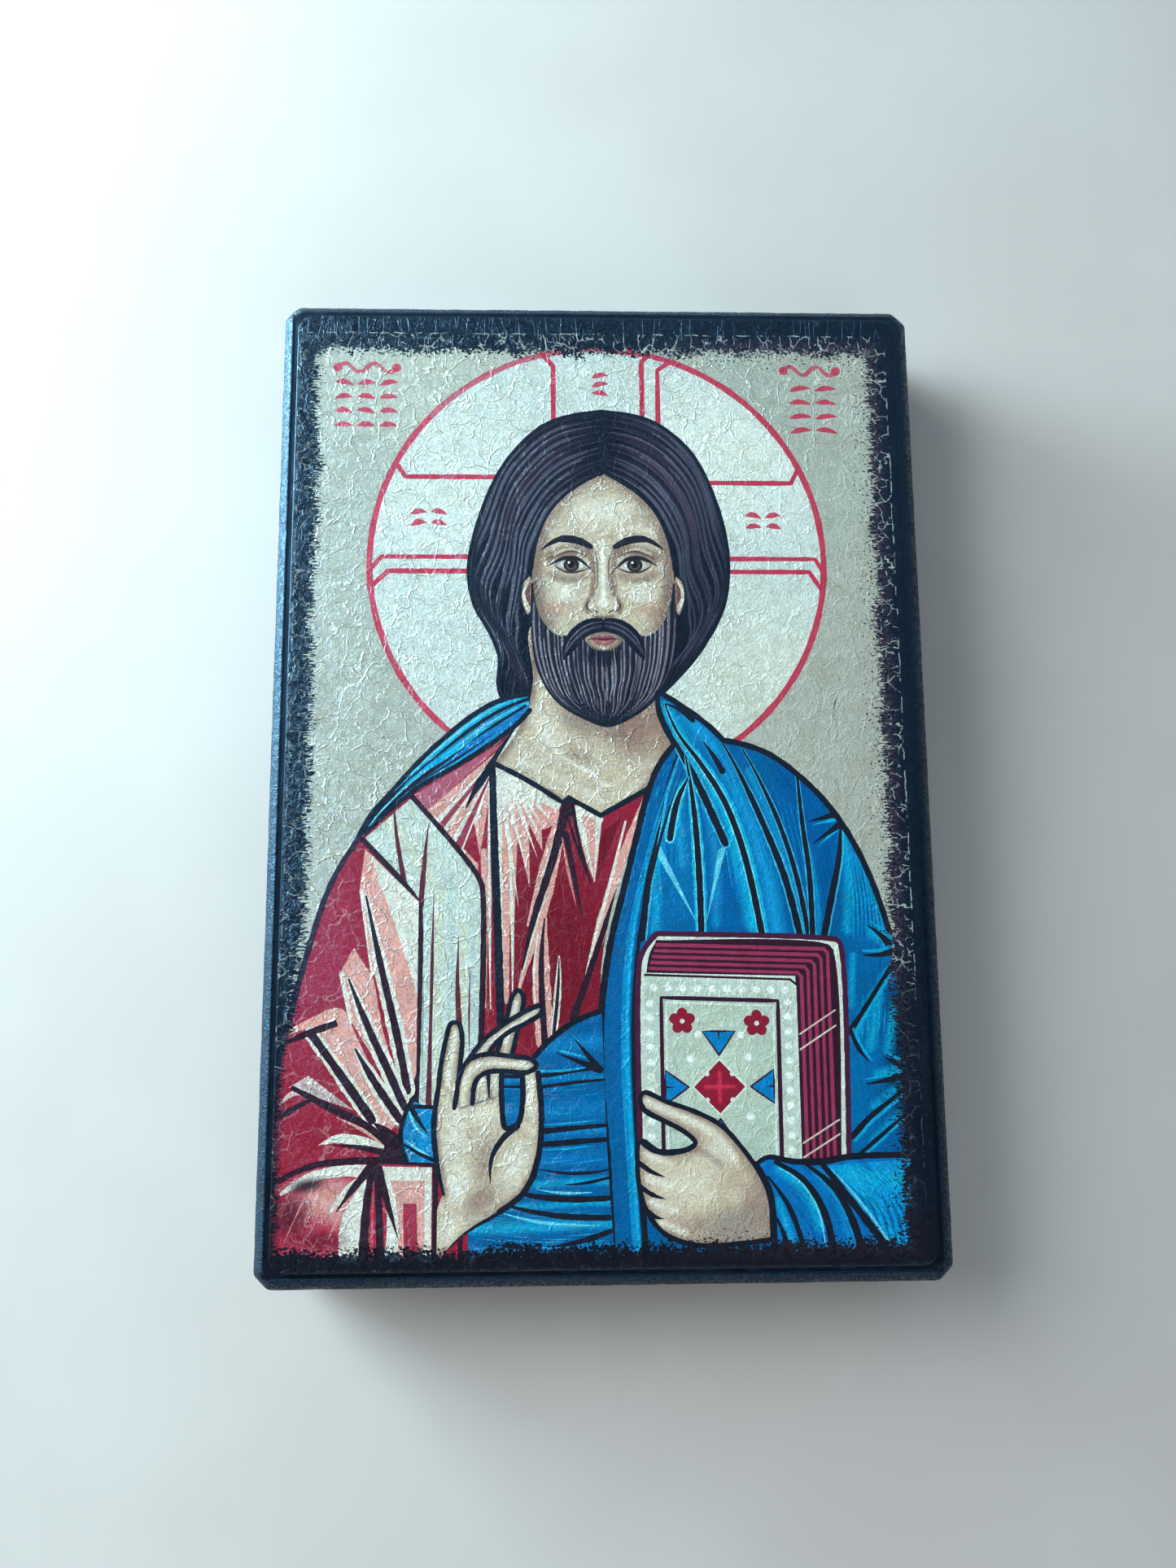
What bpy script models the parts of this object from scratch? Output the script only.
"""A small icon block: a bevelled wooden board painted black, with a printed picture sheet glued to its face.

It lies on its back. The origin is the middle of the underside, +Z comes out of the picture,
+Y points to the picture's top and +X to its right. All lengths are in metres.
"""

import bmesh
import bpy

# Board
BOARD_WIDTH = 0.100
BOARD_HEIGHT = 0.150
BOARD_THICKNESS = 0.018
CORNER_CUT = 0.0021
FRONT_BEVEL = 0.0015
BACK_BEVEL = 0.0006

# Picture sheet, measured from the edge of the board's flat front
SHEET_INSET = 0.0010
SHEET_THICKNESS = 0.0004
SHEET_CORNER_CUT = 0.0012
SHEET_EDGE_BEVEL = 0.0001
GLUE_GAP = 0.0003

# Paint and print, as linear colour
BLACK_PAINT = (0.012, 0.016, 0.024, 1.0)
PRINT_GROUND = (0.42, 0.46, 0.38, 1.0)
PAINT_ROUGHNESS = 0.38
PRINT_ROUGHNESS = 0.45


def clear_scene():
    for obj in list(bpy.data.objects):
        bpy.data.objects.remove(obj, do_unlink=True)


def make_collection(name):
    collection = bpy.data.collections.new(name)
    bpy.context.scene.collection.children.link(collection)
    return collection


def make_material(name, colour, roughness, metallic=0.0):
    material = bpy.data.materials.new(name)
    material.use_nodes = True
    shader = material.node_tree.nodes["Principled BSDF"]
    shader.inputs["Base Color"].default_value = colour
    shader.inputs["Roughness"].default_value = roughness
    shader.inputs["Metallic"].default_value = metallic
    return material


def upright_edges(mesh):
    return [e for e in mesh.edges if abs(e.verts[0].co.z - e.verts[1].co.z) > 1e-6]


def rim_edges(mesh, height):
    return [e for e in mesh.edges if all(abs(v.co.z - height) < 1e-6 for v in e.verts)]


def chamfer(mesh, edges, width):
    bmesh.ops.bevel(mesh, geom=edges, offset=width, segments=1, profile=0.5, affect="EDGES")


def slab(name, width, height, thickness, corner_cut, top_bevel, bottom_bevel=0.0):
    """A flat block, its underside at local z = 0, with cut corners and bevelled rims."""
    mesh = bmesh.new()
    bmesh.ops.create_cube(mesh, size=1.0)
    bmesh.ops.scale(mesh, vec=(width, height, thickness), verts=mesh.verts)
    bmesh.ops.translate(mesh, vec=(0.0, 0.0, thickness / 2), verts=mesh.verts)
    chamfer(mesh, upright_edges(mesh), corner_cut)
    chamfer(mesh, rim_edges(mesh, thickness), top_bevel)
    if bottom_bevel > 0:
        chamfer(mesh, rim_edges(mesh, 0.0), bottom_bevel)
    data = bpy.data.meshes.new(name)
    mesh.to_mesh(data)
    mesh.free()
    return bpy.data.objects.new(name, data)


def wooden_board():
    board = slab(
        "wooden_board", BOARD_WIDTH, BOARD_HEIGHT, BOARD_THICKNESS, CORNER_CUT, FRONT_BEVEL, BACK_BEVEL
    )
    board.data.materials.append(make_material("black_paint", BLACK_PAINT, PAINT_ROUGHNESS))
    return board


def picture_sheet():
    """The print lies on the board's flat front, a little inside its bevels."""
    margin = FRONT_BEVEL + SHEET_INSET
    sheet = slab(
        "picture_sheet",
        BOARD_WIDTH - 2 * margin,
        BOARD_HEIGHT - 2 * margin,
        SHEET_THICKNESS,
        SHEET_CORNER_CUT,
        SHEET_EDGE_BEVEL,
    )
    sheet.location.z = BOARD_THICKNESS + GLUE_GAP
    sheet.data.materials.append(make_material("printed_sheet", PRINT_GROUND, PRINT_ROUGHNESS))
    return sheet


def main():
    clear_scene()
    icon = make_collection("religious_icon")
    for piece in (wooden_board(), picture_sheet()):
        icon.objects.link(piece)


main()
